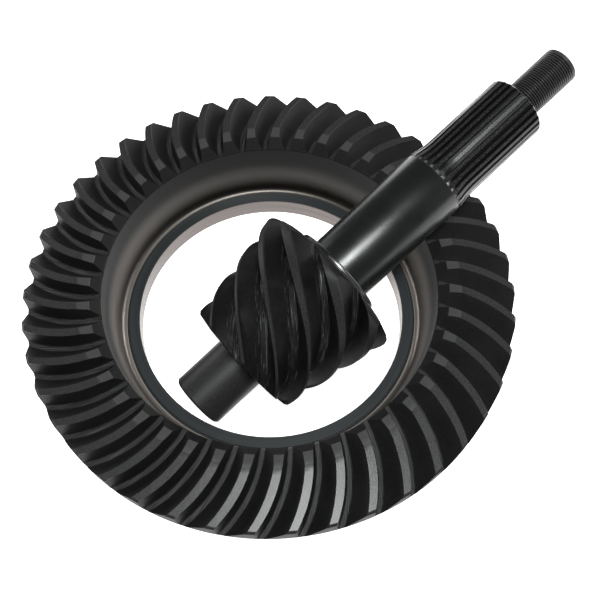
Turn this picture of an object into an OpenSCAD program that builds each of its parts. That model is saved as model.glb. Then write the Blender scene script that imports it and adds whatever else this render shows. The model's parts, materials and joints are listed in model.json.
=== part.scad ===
// Hypoid gear set: a ring gear with curved spiral teeth and its drive pinion.
// The ring gear lies on its back face with its axis on Z. The pinion lies across it as supplied.
// The ring's tooth spaces and the pinion's tooth flanks come from one and the same cutter path.

/* [Ring gear] */
// Teeth on the ring gear
ring_teeth = 43; // [35:1:49]
// Outside diameter of the ring gear
ring_diameter = 241.3; // [220:0.1:260]
// Bore diameter of the ring gear
bore_diameter = 137.6; // [120:0.1:150]
// Height of the tooth tips at the outside diameter
heel_tip_height = 41; // [36:0.1:46]
// Height of the bore lip
lip_height = 11; // [8:0.1:14]
// Height of the bottom of the tooth spaces at the outside diameter
heel_root_height = 30.2; // [26:0.1:34]
// Root angle, measured from the back face
root_angle = 13.8; // [10:0.1:18]

/* [Ring gear teeth] */
// Mean radius of the teeth
mean_radius = 104.4; // [98:0.1:110]
// Spiral angle at the mean radius
spiral_angle = 23; // [15:0.1:35]
// Radius of the face cutter
cutter_radius = 60; // [45:0.1:95]
// Width of the cutter's point
point_width = 2.4; // [1.5:0.1:3.5]
// Flank angle of the cutter's inside blades
inside_angle = 13; // [10:0.1:20]
// Flank angle of the cutter's outside blades
outside_angle = 33; // [25:0.1:38]
// Where the first tooth space stands round the ring
ring_phase = 275.2; // [0:0.1:360]

/* [Ring gear bolt holes] */
// Bolt holes in the back face
bolt_count = 10; // [8:1:12]
// Diameter of the bolt holes
bolt_hole_diameter = 11.1; // [9:0.1:14]
// Diameter of the bolt circle
bolt_circle = 179.4; // [170:0.1:190]
// Depth of the bolt holes
bolt_hole_depth = 22; // [15:0.5:25]

/* [Drive pinion head] */
// Teeth on the pinion
pinion_teeth = 8; // [6:1:13]
// Distance between the ring axis and the pinion axis when they mesh
offset = 57.15; // [30:0.05:65]
// Height of the pinion axis above the ring's back face when they mesh
mesh_height = 74; // [66:0.1:82]
// Distance from the ring axis to the pinion's stub end when they mesh
mesh_start = 22; // [15:0.1:30]
// Backlash between the flanks
backlash = 0.2; // [0:0.05:0.5]

/* [Drive pinion shaft] */
// Diameter of the pilot stub
stub_diameter = 28.1; // [24:0.1:32]
// Diameter of the bearing journal
journal_diameter = 35.3; // [30:0.1:40]
// Teeth of the spline
spline_teeth = 28; // [24:1:35]
// Outside diameter of the spline
spline_diameter = 32.7; // [28:0.1:35]
// Diameter of the nut thread
thread_diameter = 19.05; // [16:0.05:24]
// Pitch of the nut thread
thread_pitch = 1.27; // [1:0.01:2]

/* [Pinion rest position] */
// How far the pinion's axis tilts up towards the threaded end
rest_tilt = 16.08; // [10:0.01:30]
// Direction the threaded end points, round the ring
rest_azimuth = 41.99; // [0:0.1:90]
// How far the pinion is turned about its own axis
pinion_phase = 4.5; // [0:0.5:45]

/* [Hidden] */
$fn = 96;
gear_colour = [0.17, 0.17, 0.175];
pinion_colour = [0.12, 0.12, 0.125];
ring_radius = ring_diameter / 2;
bore_radius = bore_diameter / 2;

// ---- the cutter path shared by both gears ----
mean_root_height = heel_root_height + (ring_radius - mean_radius) * tan(root_angle);
tooth_ratio = ring_teeth / pinion_teeth;
heel_sweep = 44;
toe_sweep = 34;
cutter_height = 16;
root_chamfer = 0.5;

// ---- ring gear section, from the bore to the outside ----
wall_fillet = 3.6;
wall_start = 75.1;
groove_depth = 1.2;
groove_inner = 74.3;
wall_top = [82.9, 39.45];
toe_edge = [87.6, 45.2];
toe_facet = [93.4, 45.6];
heel_chamfer = 1.1;
back_taper_top = 30.8;
back_radius = 112.2;
edge_break = 0.6;

// ---- pinion stations along its axis, from near the stub's tip ----
stub_tip = -1.4;
stub_end = 26.6;
head_start = 28;
head_chamfer = 1.2;
head_heel = 85.4;
head_end = 88.8;
tip_start = 31;
tip_end = 41.3;
root_start = 23.9;
root_end = 31.9;
core_radius = 21.5;
collar_radius = 24;
collar_start = 90.4;
journal_start = 92;
journal_end = 155;
spline_start = 166.5;
spline_end = 212.3;
thread_start = 213.6;
shaft_end = 243.7;
spline_depth = 1.35;
thread_depth = 0.78;
end_chamfer = 0.8;
stub_rest = [-32.35, -54.54, 21.95];

// ---- flanks of the pinion, worked out from the ring's flanks ----
mean_azimuth = -30;
radial = [cos(mean_azimuth), sin(mean_azimuth), 0];
around = [-sin(mean_azimuth), cos(mean_azimuth), 0];
up = [0, 0, 1];
cutter_axis = cos(root_angle) * up + sin(root_angle) * radial;
along_root = cos(root_angle) * radial - sin(root_angle) * up;
tooth_line = cos(spiral_angle) * along_root - sin(spiral_angle) * around;
across_tooth = sin(spiral_angle) * along_root + cos(spiral_angle) * around;
mean_point = mean_radius * radial + mean_root_height * up;
cutter_centre = mean_point - cutter_radius * across_tooth;

function blade_angle(side) = side < 0 ? inside_angle : outside_angle;
function blade_radius(side, h) = cutter_radius + side * (point_width / 2 + h * tan(blade_angle(side)));
function sweep_ray(g) = cos(g) * across_tooth + sin(g) * tooth_line;

// a point of a ring flank: g degrees along the tooth, h above the root
function ring_flank(side, g, h) = cutter_centre + blade_radius(side, h) * sweep_ray(g) + h * cutter_axis;
function flank_normal(side, g) =
    -side * cos(blade_angle(side)) * sweep_ray(g) + sin(blade_angle(side)) * cutter_axis;

function nearest_turn(a) = a - 360 * round(a / 360);
function smaller(a, b) = abs(a) < abs(b) ? a : b;

// the ring's turn at which that point touches the pinion
function contact_turn(p, n) =
    let (q = cross(p, n))
    let (a = q[0] + mesh_height * n[1])
    let (b = -q[1] + mesh_height * n[0])
    let (c = q[2] / tooth_ratio - offset * n[2])
    let (swing = acos(max(-1, min(1, c / norm([a, b])))))
    let (base = atan2(b, a))
    smaller(nearest_turn(base + swing), nearest_turn(base - swing));

// the same point on the pinion: [station, radius, angle]
function on_pinion(side, g, h) =
    let (p = ring_flank(side, g, h))
    let (f = contact_turn(p, flank_normal(side, g)))
    let (x = p[0] * cos(f) - p[1] * sin(f))
    let (y = p[0] * sin(f) + p[1] * cos(f) + offset)
    let (z = p[2] - mesh_height)
    [x - mesh_start, norm([y, z]), atan2(z, y) - tooth_ratio * f];

// steps towards the flank point that lands on a wanted station and radius
step = 0.01;
function bounded(v, limit) = max(-limit, min(limit, v));
function find_flank(side, t, r, guess, left) =
    left == 0 ? guess :
    let (o = on_pinion(side, guess[0], guess[1]))
    let (a = (on_pinion(side, guess[0] + step, guess[1]) - o) / step)
    let (b = (on_pinion(side, guess[0], guess[1] + step) - o) / step)
    let (det = a[0] * b[1] - b[0] * a[1])
    let (dg = ((t - o[0]) * b[1] - b[0] * (r - o[1])) / det)
    let (dh = (a[0] * (r - o[1]) - (t - o[0]) * a[1]) / det)
    find_flank(side, t, r, guess + [bounded(dg, 10), bounded(dh, 3)], left - 1);

// ---- shape of the pinion's head ----
function tip_radius(t) = lookup(t, [
    [head_start - 0.5, root_start + 0.4],
    [head_start + 0.2, tip_start - head_chamfer],
    [head_start + 0.2 + head_chamfer, tip_start],
    [head_heel - 2, tip_end],
    [head_heel, tip_end - 0.5],
    [head_heel + 1.2, tip_end - 2.2],
    [head_end, root_end + 0.8]
]);
function full_tip(t) = tip_start + (t - head_start) * (tip_end - tip_start) / (head_heel - head_start);
function root_radius(t) = root_start + (t - head_start) * (root_end - root_start) / (head_heel - head_start);
tooth_pitch = 360 / pinion_teeth;
land_least = 2.2;
levels = [0, 0.08, 0.25, 0.45, 0.65, 0.85, 1];
level_count = len(levels);
solve_from = 33;
solve_to = 84;
head_stations = concat(
    [head_start - 0.5, head_start + 0.2, head_start + 0.2 + head_chamfer],
    [for (i = [0:26]) 31.4 + i * 2],
    [head_heel, head_heel + 1.2, head_heel + 2.3, head_end]
);

// angles of both flanks at a station and radius, inside the solved range
function flank_angle(side, t, r) =
    let (s = find_flank(side, t, r, [(t - 66) * 0.955, 2 + (full_tip(t) - r)], 9))
    on_pinion(side, s[0], s[1])[2];

// outside the solved range the flank runs on straight
function run_on(side, t, r) =
    t < solve_from ? flank_angle(side, solve_from, r)
        + (t - solve_from) * (flank_angle(side, solve_from + 1, r) - flank_angle(side, solve_from, r)) :
    t > solve_to ? flank_angle(side, solve_to, r)
        + (t - solve_to) * (flank_angle(side, solve_to, r) - flank_angle(side, solve_to - 1, r)) :
    flank_angle(side, t, r);

// one tooth at a station: the points of its outline as [radius, angle]
// the tooth narrows from its root to its tip; at the two end faces its low flanks stand radially
function tooth_outline(t) =
    let (tip = tip_radius(t))
    let (root = min(root_radius(t), tip - 0.3))
    let (end_face = t < head_start || t >= head_end)
    let (pairs = [for (f = levels)
        let (r = root + f * (tip - root))
        let (at = end_face ? root : r)
        let (gap = 57.3 * backlash / 2 / r)
        let (a = run_on(-1, t, at) + gap)
        let (wide = run_on(1, t, at) - gap - a)
        let (narrowest = 10 - 30 * (at - root) / (full_tip(t) - root))
        let (wrapped = wide - tooth_pitch * floor((wide - narrowest) / tooth_pitch))
        let (land = max(wrapped - (end_face ? f : 0), 57.3 * land_least / r))
        [r, a + (wrapped - land) / 2, a + (wrapped + land) / 2]])
    let (top = pairs[level_count - 1])
    let (low = pairs[0])
    concat(
        [for (p = pairs) [p[0], p[1]]],
        [[top[0], (top[1] + top[2]) / 2]],
        [for (i = [level_count - 1:-1:0]) [pairs[i][0], pairs[i][2]]],
        [[low[0], (low[2] + low[1] + tooth_pitch) / 2]]
    );

outline_points = 2 * level_count + 2;
around_points = outline_points * pinion_teeth;

function turn_of(k) = k * tooth_pitch;
head_outlines = [for (t = head_stations) tooth_outline(t)];
last_ring = (len(head_stations) - 1) * around_points;
centre_point = len(head_stations) * around_points;
head_points = concat(
    [for (j = [0:len(head_stations) - 1])
        for (k = [0:pinion_teeth - 1])
            for (p = head_outlines[j])
                [p[0] * cos(p[1] + turn_of(k)), p[0] * sin(p[1] + turn_of(k)), head_stations[j]]],
    [[0, 0, head_stations[0]], [0, 0, head_end]]
);
head_faces = concat(
    [for (i = [0:around_points - 1]) [i, (i + 1) % around_points, centre_point]],
    [for (j = [0:len(head_stations) - 2])
        for (i = [0:around_points - 1])
            let (n = (i + 1) % around_points)
            [j * around_points + i, (j + 1) * around_points + i, (j + 1) * around_points + n]],
    [for (j = [0:len(head_stations) - 2])
        for (i = [0:around_points - 1])
            let (n = (i + 1) % around_points)
            [j * around_points + i, (j + 1) * around_points + n, j * around_points + n]],
    [for (i = [0:around_points - 1]) [last_ring + (i + 1) % around_points, last_ring + i, centre_point + 1]]
);

// ---- ring gear ----
module ring_blank() {
    rotate_extrude()
    polygon(concat(
        [
            [bore_radius + edge_break, 0],
            [bore_radius, edge_break],
            [bore_radius, lip_height],
            [groove_inner, lip_height],
            [groove_inner, lip_height - groove_depth]
        ],
        [for (i = [0:6]) [
            wall_start + wall_fillet * sin(i * 13),
            lip_height - groove_depth + wall_fillet * (1 - cos(i * 13))
        ]],
        [
            wall_top,
            toe_edge,
            toe_facet,
            [ring_radius - heel_chamfer, heel_tip_height + 0.2],
            [ring_radius, heel_tip_height - heel_chamfer],
            [ring_radius, back_taper_top],
            [back_radius, edge_break],
            [back_radius - edge_break, 0]
        ]
    ));
}

module tooth_space() {
    inside_top = cutter_radius - point_width / 2 - cutter_height * tan(inside_angle);
    outside_top = cutter_radius + point_width / 2 + cutter_height * tan(outside_angle);
    inside_low = cutter_radius - point_width / 2 - root_chamfer * tan(inside_angle);
    outside_low = cutter_radius + point_width / 2 + root_chamfer * tan(outside_angle);
    translate([mean_radius, 0, mean_root_height])
    rotate([0, root_angle, 0])
    rotate([0, 0, 90 - spiral_angle])
    translate([-cutter_radius, 0, 0])
    rotate([0, 0, -heel_sweep])
    rotate_extrude(angle = heel_sweep + toe_sweep)
    polygon([
        [inside_low + root_chamfer, 0],
        [outside_low - root_chamfer, 0],
        [outside_low, root_chamfer],
        [outside_top, cutter_height],
        [inside_top, cutter_height],
        [inside_low, root_chamfer]
    ]);
}

module ring_gear() {
    color(gear_colour)
    difference() {
        ring_blank();
        for (i = [0:ring_teeth - 1])
            rotate([0, 0, ring_phase + i * 360 / ring_teeth])
            tooth_space();
        for (i = [0:bolt_count - 1])
            rotate([0, 0, i * 360 / bolt_count])
            translate([bolt_circle / 2, 0, -1])
            cylinder(d = bolt_hole_diameter, h = bolt_hole_depth + 1, $fn = 48);
    }
}

// ---- drive pinion, along Z from its stub end ----
thread_turns = floor((shaft_end - end_chamfer - 0.2 - thread_start) / thread_pitch);

module pinion_core() {
    stub = stub_diameter / 2;
    journal = journal_diameter / 2;
    low = spline_diameter / 2 - spline_depth;
    thread = thread_diameter / 2;
    rotate_extrude()
    polygon(concat(
        [
            [0, stub_tip],
            [stub - 1, stub_tip],
            [stub, stub_tip + 1],
            [stub, stub_end],
            [core_radius + 1, head_start + 0.4],
            [core_radius, head_start + 1],
            [core_radius, head_end - 1.5],
            [root_end - 0.3, head_end - 0.5],
            [collar_radius, collar_start],
            [collar_radius, journal_start - 0.5],
            [collar_radius - 0.5, journal_start],
            [journal + 0.6, journal_start],
            [journal, journal_start + 0.8],
            [journal, journal_end],
            [journal - 0.95, journal_end + 1.7],
            [journal - 1.75, journal_end + 4],
            [journal - 2.35, journal_end + 7],
            [low, spline_start],
            [low, spline_end - 0.2],
            [low - 0.5, spline_end + 0.3],
            [thread - 0.9, spline_end + 0.3],
            [thread - 0.9, thread_start - 0.5],
            [thread, thread_start]
        ],
        [for (i = [0:thread_turns - 1], j = [0:2]) [
            thread - (j == 1 ? thread_depth : 0),
            thread_start + (i + 0.1 + j * 0.4) * thread_pitch
        ]],
        [
            [thread, shaft_end - end_chamfer],
            [thread - end_chamfer, shaft_end],
            [0, shaft_end]
        ]
    ));
}

module pinion_spline() {
    top = spline_diameter / 2;
    low = top - spline_depth;
    outer = journal_diameter / 2;
    each_tooth = 360 / spline_teeth;
    // a ridge is wider above the spline's own diameter, where the cutter left the work
    ridge = [[low - 0.2, 0.33], [top, 0.22], [outer + 1, 0.33]];
    intersection() {
        translate([0, 0, journal_end - 1])
        linear_extrude(spline_end - journal_end + 1)
        polygon([
            for (i = [0:spline_teeth - 1], k = [0:5])
                let (c = ridge[k < 3 ? k : 5 - k], a = (i + (k < 3 ? -c[1] : c[1])) * each_tooth)
                [c[0] * cos(a), c[0] * sin(a)]
        ]);
        rotate_extrude()
        polygon([
            [0, journal_end - 2],
            [outer - 0.06, journal_end - 2],
            [outer - 0.06, journal_end + 2.4],
            [outer - 0.55, journal_end + 4.8],
            [outer - 1.02, journal_end + 7.8],
            [top, spline_start],
            [top, spline_end - 1],
            [top - 1.6, spline_end + 0.6],
            [0, spline_end + 0.6]
        ]);
    }
}

module drive_pinion() {
    color(pinion_colour)
    translate(stub_rest)
    rotate([0, 90 - rest_tilt, rest_azimuth])
    rotate([0, 0, pinion_phase])
    union() {
        pinion_core();
        polyhedron(points = head_points, faces = head_faces, convexity = 10);
        pinion_spline();
    }
}

ring_gear();
drive_pinion();
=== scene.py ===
import bpy
import json
import math
from mathutils import Matrix, Vector

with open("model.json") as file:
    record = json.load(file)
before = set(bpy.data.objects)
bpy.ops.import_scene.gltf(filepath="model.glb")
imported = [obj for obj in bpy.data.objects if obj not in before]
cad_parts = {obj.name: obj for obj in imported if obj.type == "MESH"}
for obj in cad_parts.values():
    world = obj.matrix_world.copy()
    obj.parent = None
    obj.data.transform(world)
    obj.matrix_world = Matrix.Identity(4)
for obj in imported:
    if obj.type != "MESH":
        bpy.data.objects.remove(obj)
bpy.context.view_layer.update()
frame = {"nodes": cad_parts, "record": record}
scene = bpy.context.scene

# ---------------------------------------------------------------- sizes, in metres
# the ring gear: radii, heights above its back face, and (radius, height) points of a tooth
BORE = 0.0688
LIP_OUT = 0.0743
LIP_TOP = 0.0110
TOE = (0.0876, 0.0452)
FACET = (0.0934, 0.0456)
HEEL = (0.11955, 0.0412)
ROOT_HEEL = (0.12065, 0.0302)
ROOT_SLOPE = math.tan(math.radians(13.8))
# the two radii that each edge of an area fades between
GROOVE_START = (0.0742, 0.0744)
GROOVE_END = (0.0751, 0.0755)
WALL_START = (0.0752, 0.0757)
WALL_END = (0.0885, 0.0895)
TEETH_START = (0.0829, 0.0836)
LAND_START = (0.0868, 0.0874)
ROOT_END = (0.1203, 0.1206)
# the wall inside the teeth: bare up to the first height, black above the second
WALL_BARE = (0.0140, 0.0330)
# and painted shade on its far side: lighter nearer than the first y, darker beyond the second
WALL_FAR_SHADE = (-0.05, 0.085)

# the pinion: the two stations along its axis, from the stub's end, that each edge fades between
STUB_END = (0.0270, 0.0274)
HEAD_START = (0.0272, 0.0278)
HEAD_END = (0.0888, 0.0892)
COLLAR_START = (0.0886, 0.0892)
COLLAR_END = (0.0921, 0.0924)
JOURNAL_START = (0.0922, 0.0926)
JOURNAL_END = (0.1548, 0.1550)
RUNOUT_END = (0.1560, 0.1575)
THREAD_START = (0.2126, 0.2130)
# its teeth: the station of the small end, then (radius there, growth along the axis)
SMALL_END = 0.028
PINION_ROOT = (0.0239, 0.1316)
PINION_TIP = (0.0310, 0.1794)
# radii on its shaft
SPLINE_FLOOR = (0.0154, 0.0161)
SPLINE_CREST = (0.0161, 0.0163)
RUNOUT_FLOOR = (0.0172, 0.0175)
THREAD_CREST = (0.0088, 0.0094)

FLOOR_HALF = 3.0
FLOOR_TOP = -0.0001
SMOOTH_BELOW = 24  # degrees between faces
WELD = 0.000002
SPIN = frame["record"]["behaviour"]["joints"][0]
STUB = Vector(SPIN["pos_m"])
AXIS = Vector(SPIN["axis"]).normalized()


# ---------------------------------------------------------------- node helpers
class Nodes:
    """A material's node tree with short calls for the nodes used here."""

    def __init__(self, name):
        self.mat = bpy.data.materials.new(name)
        self.mat.use_nodes = True
        self.tree = self.mat.node_tree
        self.shader = next(n for n in self.tree.nodes if n.type == "BSDF_PRINCIPLED")

    def add(self, kind, **settings):
        node = self.tree.nodes.new(kind)
        for key, value in settings.items():
            setattr(node, key, value)
        return node

    def put(self, socket, value):
        if isinstance(value, bpy.types.NodeSocket):
            self.tree.links.new(value, socket)
        else:
            socket.default_value = value

    def math(self, op, a, b=0.0, c=0.0):
        node = self.add("ShaderNodeMath", operation=op)
        for socket, value in zip(node.inputs, (a, b, c)):
            self.put(socket, value)
        return node.outputs[0]

    def ramp(self, value, low, high, to_low=0.0, to_high=1.0):
        node = self.add("ShaderNodeMapRange", interpolation_type="SMOOTHSTEP")
        for socket, v in zip(node.inputs, (value, low, high, to_low, to_high)):
            self.put(socket, v)
        return node.outputs[0]

    def fall(self, value, edge):
        """1 below the edge and 0 above it."""
        return self.ramp(value, *edge, 1.0, 0.0)

    def within(self, value, start, end):
        return self.math("MULTIPLY", self.ramp(value, *start), self.fall(value, end))

    def mix(self, factor, a, b):
        node = self.add("ShaderNodeMix", data_type="RGBA")
        self.put(node.inputs[0], factor)
        self.put(node.inputs[6], a)
        self.put(node.inputs[7], b)
        return node.outputs[2]

    def blend(self, factor, a, b):
        node = self.add("ShaderNodeMix", data_type="FLOAT")
        self.put(node.inputs[0], factor)
        self.put(node.inputs[2], a)
        self.put(node.inputs[3], b)
        return node.outputs[0]

    def noise(self, vector, scale, detail=3.0, rough=0.55):
        node = self.add("ShaderNodeTexNoise")
        self.put(node.inputs["Vector"], vector)
        self.put(node.inputs["Scale"], scale)
        self.put(node.inputs["Detail"], detail)
        self.put(node.inputs["Roughness"], rough)
        return node.outputs["Fac"]

    def split(self, vector):
        node = self.add("ShaderNodeSeparateXYZ")
        self.put(node.inputs[0], vector)
        return node.outputs

    def join(self, x, y, z):
        node = self.add("ShaderNodeCombineXYZ")
        for socket, value in zip(node.inputs, (x, y, z)):
            self.put(socket, value)
        return node.outputs[0]

    def radius(self, x, y):
        squares = self.math("MULTIPLY", x, x), self.math("MULTIPLY", y, y)
        return self.math("SQRT", self.math("ADD", *squares))

    def bump(self, height, strength, distance, under=None):
        node = self.add("ShaderNodeBump")
        self.put(node.inputs["Strength"], strength)
        self.put(node.inputs["Distance"], distance)
        self.put(node.inputs["Height"], height)
        if under is not None:
            self.put(node.inputs["Normal"], under)
        return node.outputs[0]

    def finish(self, colour, rough, metal, normal, gloss):
        self.put(self.shader.inputs["Specular IOR Level"], gloss)
        self.put(self.shader.inputs["Base Color"], colour)
        self.put(self.shader.inputs["Roughness"], rough)
        self.put(self.shader.inputs["Metallic"], metal)
        self.put(self.shader.inputs["Normal"], normal)
        return self.mat


def grey(v, warm=0.0):
    return (v * (1 + warm), v, v * (1 - warm), 1.0)


# ---------------------------------------- ring gear: phosphate over machined steel
def ring_material():
    n = Nodes("ring_phosphate")
    at = n.add("ShaderNodeTexCoord").outputs["Object"]
    x, y, z = n.split(at)
    r = n.radius(x, y)
    turn = n.math("ARCTAN2", y, x)

    # the surface of the tooth tips, as a height for each radius
    cone = n.math("SUBTRACT", FACET[1], n.math("MULTIPLY", n.math("SUBTRACT", r, FACET[0]),
                                               (FACET[1] - HEEL[1]) / (HEEL[0] - FACET[0])))
    flat = n.math("ADD", TOE[1], n.math("MULTIPLY", n.math("SUBTRACT", r, TOE[0]),
                                        (FACET[1] - TOE[1]) / (FACET[0] - TOE[0])))
    below_tip = n.math("SUBTRACT", n.math("MINIMUM", cone, flat), z)
    land = n.math("MULTIPLY", n.fall(below_tip, (0.0001, 0.00035)), n.ramp(r, *LAND_START))
    facet = n.math("MULTIPLY", land, n.ramp(r, FACET[0] - 0.0002, FACET[0] + 0.0003, 1.0, 0.0))

    # the bottom of the tooth spaces
    floor_z = n.math("ADD", ROOT_HEEL[1],
                     n.math("MULTIPLY", n.math("SUBTRACT", ROOT_HEEL[0], r), ROOT_SLOPE))
    above_floor = n.math("SUBTRACT", z, floor_z)
    near_floor = n.ramp(n.math("ABSOLUTE", above_floor), 0.0002, 0.0006, 1.0, 0.0)
    teeth = n.math("MULTIPLY", n.ramp(above_floor, -0.0004, -0.0001), n.ramp(r, *TEETH_START))
    root = n.math("MULTIPLY", near_floor, n.math("MULTIPLY", teeth, n.fall(r, ROOT_END)))

    bore = n.ramp(r, BORE + 0.0001, BORE + 0.0003, 1.0, 0.0)
    lip = n.math("MULTIPLY", n.ramp(r, LIP_OUT - 0.0001, LIP_OUT + 0.0001, 1.0, 0.0),
                 n.ramp(z, LIP_TOP - 0.0003, LIP_TOP - 0.0001))
    groove = n.within(r, GROOVE_START, GROOVE_END)
    web = n.math("MULTIPLY", n.ramp(r, *WALL_START), n.fall(teeth, (0.3, 0.7)))
    web = n.math("MULTIPLY", web, n.fall(r, WALL_END))

    # grain and turning marks
    grain = n.noise(at, 1500.0, 4.0, 0.6)
    speck = n.noise(at, 4200.0, 2.0, 0.5)
    cloud = n.noise(at, 38.0, 3.0, 0.5)
    rings = n.noise(n.join(n.math("MULTIPLY", r, 2600.0), n.math("MULTIPLY", turn, 1.2),
                           n.math("MULTIPLY", z, 2600.0)), 1.0, 3.0, 0.6)
    # cutter marks run along each tooth, so they hardly change along the radius
    swirl = n.math("ADD", turn, n.math("MULTIPLY", r, 3.4))
    strokes = n.noise(n.join(n.math("MULTIPLY", swirl, 260.0), n.math("MULTIPLY", r, 60.0),
                             n.math("MULTIPLY", above_floor, 1500.0)), 1.0, 3.0, 0.6)

    flank_grey = n.mix(n.ramp(grain, 0.25, 0.75), grey(0.004), grey(0.011))
    flank_grey = n.mix(n.math("MULTIPLY", n.ramp(cloud, 0.35, 0.7), 0.3),
                       flank_grey, grey(0.020, 0.02))
    land_grey = n.mix(n.ramp(speck, 0.3, 0.7), grey(0.020), grey(0.060))
    land_grey = n.mix(n.math("MULTIPLY", facet, 0.5), land_grey, grey(0.10))
    root_grey = n.mix(n.ramp(strokes, 0.4, 0.7), grey(0.010), grey(0.045))
    # the wall inside the teeth is bare and shiny at its foot and blackened towards the teeth;
    # its far side is darker only as painted shade, to match how it looks from the camera
    bare = n.fall(z, WALL_BARE)
    web_grey = n.mix(n.ramp(rings, 0.3, 0.7), (0.40, 0.36, 0.33, 1), (0.56, 0.51, 0.475, 1))
    web_grey = n.mix(n.ramp(y, *WALL_FAR_SHADE), web_grey, (0.040, 0.036, 0.032, 1))
    web_grey = n.mix(bare, grey(0.006), web_grey)
    lip_grey = n.mix(n.ramp(rings, 0.3, 0.7),
                     (0.014, 0.017, 0.019, 1), (0.024, 0.028, 0.030, 1))
    bore_grey = n.mix(n.ramp(rings, 0.3, 0.7),
                      (0.11, 0.094, 0.089, 1), (0.17, 0.145, 0.138, 1))
    side_grey = n.mix(n.ramp(rings, 0.3, 0.7), grey(0.012), grey(0.024))

    colour = n.mix(teeth, side_grey, flank_grey)
    colour = n.mix(root, colour, root_grey)
    colour = n.mix(land, colour, land_grey)
    colour = n.mix(web, colour, web_grey)
    colour = n.mix(lip, colour, lip_grey)
    colour = n.mix(groove, colour, grey(0.006))
    colour = n.mix(bore, colour, bore_grey)

    rough = n.blend(teeth, 0.42, n.ramp(grain, 0.2, 0.8, 0.50, 0.66))
    rough = n.blend(land, rough, n.ramp(speck, 0.3, 0.7, 0.25, 0.39))
    rough = n.blend(web, rough, n.ramp(rings, 0.3, 0.7, 0.30, 0.40))
    rough = n.blend(lip, rough, 0.36)
    rough = n.blend(bore, rough, 0.30)
    metal = n.blend(land, 0.0, 0.45)
    metal = n.blend(web, metal, n.math("MULTIPLY", bare, 0.9))
    metal = n.blend(bore, metal, 0.6)

    turned = n.math("SUBTRACT", 1.0, teeth)
    marks = n.bump(n.math("MULTIPLY", rings, turned), 0.22, 0.00012)
    marks = n.bump(n.math("MULTIPLY", strokes, teeth), 0.16, 0.00015, marks)
    marks = n.bump(grain, 0.16, 0.00012, marks)
    gloss = n.blend(teeth, 0.35, 0.15)
    gloss = n.blend(web, gloss, n.ramp(bare, 0.0, 1.0, 0.15, 1.0))
    return n.finish(colour, rough, metal, marks, gloss)


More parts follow.
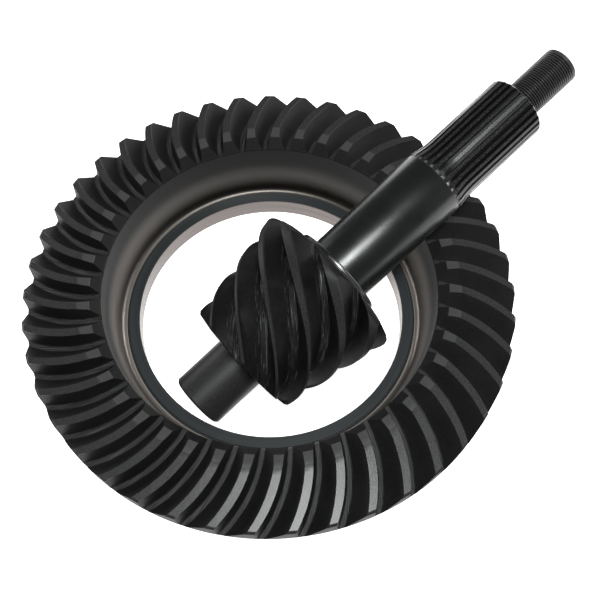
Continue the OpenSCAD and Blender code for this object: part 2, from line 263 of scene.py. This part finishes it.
# ---------------------------------------- drive pinion: black oxide over cut steel
def pinion_material():
    n = Nodes("pinion_oxide")
    at = n.add("ShaderNodeTexCoord").outputs["Object"]
    # the pinion's own frame: z from the stub end along the axis
    own = n.add("ShaderNodeMapping", vector_type="TEXTURE")
    n.put(own.inputs["Vector"], at)
    own.inputs["Location"].default_value = STUB
    tilt = math.asin(AXIS.z)
    own.inputs["Rotation"].default_value = (0.0, math.pi / 2 - tilt, math.atan2(AXIS.y, AXIS.x))
    place = own.outputs[0]
    x, y, t = n.split(place)
    r = n.radius(x, y)
    turn = n.math("ARCTAN2", y, x)

    def cone_radius(start, growth):
        return n.math("ADD", start, n.math("MULTIPLY", n.math("SUBTRACT", t, SMALL_END), growth))

    head = n.within(t, HEAD_START, HEAD_END)
    above_root = n.math("SUBTRACT", r, cone_radius(*PINION_ROOT))
    below_tip = n.math("SUBTRACT", cone_radius(*PINION_TIP), r)
    low = n.math("MULTIPLY", head, n.fall(above_root, (0.0008, 0.0030)))
    crest = n.math("MULTIPLY", head, n.fall(below_tip, (0.0001, 0.0006)))
    collar = n.within(t, COLLAR_START, COLLAR_END)
    journal = n.within(t, JOURNAL_START, JOURNAL_END)
    tail = n.ramp(t, *JOURNAL_END)
    thread = n.ramp(t, *THREAD_START)
    spline = n.math("MULTIPLY", tail, n.math("SUBTRACT", 1.0, thread))
    runout_highlight = n.math("MULTIPLY", tail, n.fall(t, RUNOUT_END))

    grain = n.noise(place, 1300.0, 4.0, 0.6)
    cloud = n.noise(place, 55.0, 4.0, 0.55)
    # ground surfaces: fine lines round the axis
    lines = n.noise(n.join(n.math("MULTIPLY", turn, 0.7), n.math("MULTIPLY", r, 900.0),
                           n.math("MULTIPLY", t, 3200.0)), 1.0, 3.0, 0.6)
    # cutter strokes in the tooth spaces run with the spiral
    swirl = n.math("ADD", turn, n.math("MULTIPLY", t, 45.0))
    strokes = n.noise(n.join(n.math("MULTIPLY", swirl, 55.0), n.math("MULTIPLY", t, 60.0),
                             n.math("MULTIPLY", r, 1100.0)), 1.0, 4.0, 0.65)
    scratch = n.ramp(strokes, 0.56, 0.66)

    tooth_black = n.mix(n.ramp(grain, 0.25, 0.75), grey(0.0030), grey(0.0075))
    tooth_black = n.mix(n.math("MULTIPLY", n.ramp(cloud, 0.42, 0.68), 0.5),
                        tooth_black, grey(0.015, 0.03))
    root_black = n.mix(scratch, grey(0.008), grey(0.16))
    crest_black = n.mix(n.ramp(grain, 0.3, 0.7), grey(0.012), grey(0.024))
    shaft_black = n.mix(n.ramp(lines, 0.3, 0.7),
                        (0.0050, 0.0062, 0.0062, 1), (0.0080, 0.0095, 0.0093, 1))
    spline_black = n.mix(n.ramp(grain, 0.4, 0.65), grey(0.008), grey(0.032))
    stub_black = n.mix(n.ramp(grain, 0.3, 0.7), grey(0.012), grey(0.022))
    collar_black = n.mix(n.ramp(lines, 0.45, 0.6), grey(0.012), grey(0.11))

    colour = n.mix(n.ramp(t, *STUB_END), stub_black, tooth_black)
    colour = n.mix(crest, colour, crest_black)
    colour = n.mix(low, colour, root_black)
    colour = n.mix(collar, colour, collar_black)
    colour = n.mix(n.math("MAXIMUM", journal, tail), colour, shaft_black)
    colour = n.mix(n.math("MULTIPLY", spline, n.fall(r, SPLINE_FLOOR)), colour, grey(0.003))
    colour = n.mix(n.math("MULTIPLY", spline, n.ramp(r, *SPLINE_CREST)), colour, spline_black)
    # painted highlight: the floor where the spline grooves run out is painted light grey
    colour = n.mix(n.math("MULTIPLY", runout_highlight, n.fall(r, RUNOUT_FLOOR)), colour, grey(0.14))
    # the thread: painted shade in its grooves and a painted highlight on its crests
    thread_crest_highlight = n.ramp(r, *THREAD_CREST)
    colour = n.mix(thread, colour, n.mix(thread_crest_highlight, grey(0.002), grey(0.045)))

    rough = n.ramp(grain, 0.2, 0.8, 0.38, 0.50)
    rough = n.blend(low, rough, n.blend(scratch, 0.42, 0.24))
    rough = n.blend(journal, rough, n.ramp(cloud, 0.3, 0.7, 0.25, 0.32))
    rough = n.blend(collar, rough, 0.26)
    rough = n.blend(spline, rough, 0.27)
    rough = n.blend(thread, rough, 0.25)
    metal = n.blend(n.math("MULTIPLY", low, scratch), 0.0, 0.8)
    metal = n.blend(collar, metal, 0.5)
    metal = n.blend(tail, metal, 0.25)
    metal = n.blend(journal, metal, 0.15)

    shaft = n.math("SUBTRACT", 1.0, head)
    marks = n.bump(n.math("MULTIPLY", lines, shaft), 0.05, 0.00006)
    marks = n.bump(n.math("MULTIPLY", strokes, head), 0.22, 0.00018, marks)
    marks = n.bump(grain, 0.12, 0.0001, marks)
    gloss = n.blend(head, n.ramp(t, *STUB_END, 0.22, 0.5), 0.10)
    return n.finish(colour, rough, metal, marks, gloss)


def dress(node, material):
    """Gives a CAD node its material, and smooth shading that stays sharp at real edges."""
    obj = frame["nodes"][node]
    for slot in obj.material_slots:
        slot.material = material
    for face in obj.data.polygons:
        face.use_smooth = True
    weld = obj.modifiers.new("weld", "WELD")
    weld.merge_threshold = WELD
    split = obj.modifiers.new("edges", "EDGE_SPLIT")
    split.split_angle = math.radians(SMOOTH_BELOW)
    split.use_edge_sharp = False


dress("ring_gear", ring_material())
dress("drive_pinion", pinion_material())


# ---------------------------------------------------------------- floor
def floor():
    mesh = bpy.data.meshes.new("floor")
    s, z = FLOOR_HALF, FLOOR_TOP
    mesh.from_pydata([(-s, -s, z), (s, -s, z), (s, s, z), (-s, s, z)], [], [(0, 1, 2, 3)])
    obj = bpy.data.objects.new("floor", mesh)
    scene.collection.objects.link(obj)
    n = Nodes("floor_white")
    at = n.add("ShaderNodeTexCoord").outputs["Object"]
    soft = n.noise(at, 3.0, 2.0, 0.5)
    white = n.mix(soft, (0.90, 0.90, 0.90, 1), (0.92, 0.915, 0.91, 1))
    n.put(n.shader.inputs["Base Color"], white)
    n.shader.inputs["Roughness"].default_value = 0.9
    n.shader.inputs["Emission Color"].default_value = (1.0, 0.985, 0.975, 1)
    n.shader.inputs["Emission Strength"].default_value = 0.92
    n.shader.inputs["Specular IOR Level"].default_value = 0.1
    mesh.materials.append(n.mat)


floor()


# ---------------------------------------------------------------- light
def softbox(name, place, aim, size, watts, colour=(1, 1, 1)):
    data = bpy.data.lights.new(name, "AREA")
    data.shape = "RECTANGLE"
    data.size, data.size_y = size
    data.energy = watts
    data.color = colour
    obj = bpy.data.objects.new(name, data)
    scene.collection.objects.link(obj)
    obj.location = place
    obj.rotation_euler = (Vector(place) - Vector(aim)).to_track_quat("Z", "Y").to_euler()


middle = (0.0, 0.0, 0.03)
softbox("overhead", (0.12, -0.32, 1.30), middle, (0.50, 0.30), 21.0, (0.97, 1.0, 0.99))
softbox("left_bank", (-1.05, 0.55, 0.30), middle, (1.0, 0.4), 6.0)
softbox("right_bank", (1.05, 0.55, 0.30), middle, (1.0, 0.4), 7.0)

world = bpy.data.worlds.new("studio")
scene.world = world
world.use_nodes = True
background = world.node_tree.nodes["Background"]
background.inputs["Color"].default_value = (1.0, 0.99, 0.985, 1)
background.inputs["Strength"].default_value = 0.13
scene.view_settings.view_transform = "Standard"

# ---------------------------------------------------------------- camera
place = Vector((0.01489, -0.18267, 0.37878))
right = Vector((0.99963, 0.0243, 0.0125)).normalized()
back = right.cross(Vector((-0.0273, 0.8889, 0.4573))).normalized()
above = back.cross(right)
lens = bpy.data.cameras.new("camera")
lens.sensor_width = 36.0
lens.lens = 46.80
lens.clip_start = 0.01
camera = bpy.data.objects.new("camera", lens)
scene.collection.objects.link(camera)
camera.matrix_world = Matrix((
    (right.x, above.x, back.x, place.x),
    (right.y, above.y, back.y, place.y),
    (right.z, above.z, back.z, place.z),
    (0, 0, 0, 1),
))
scene.camera = camera
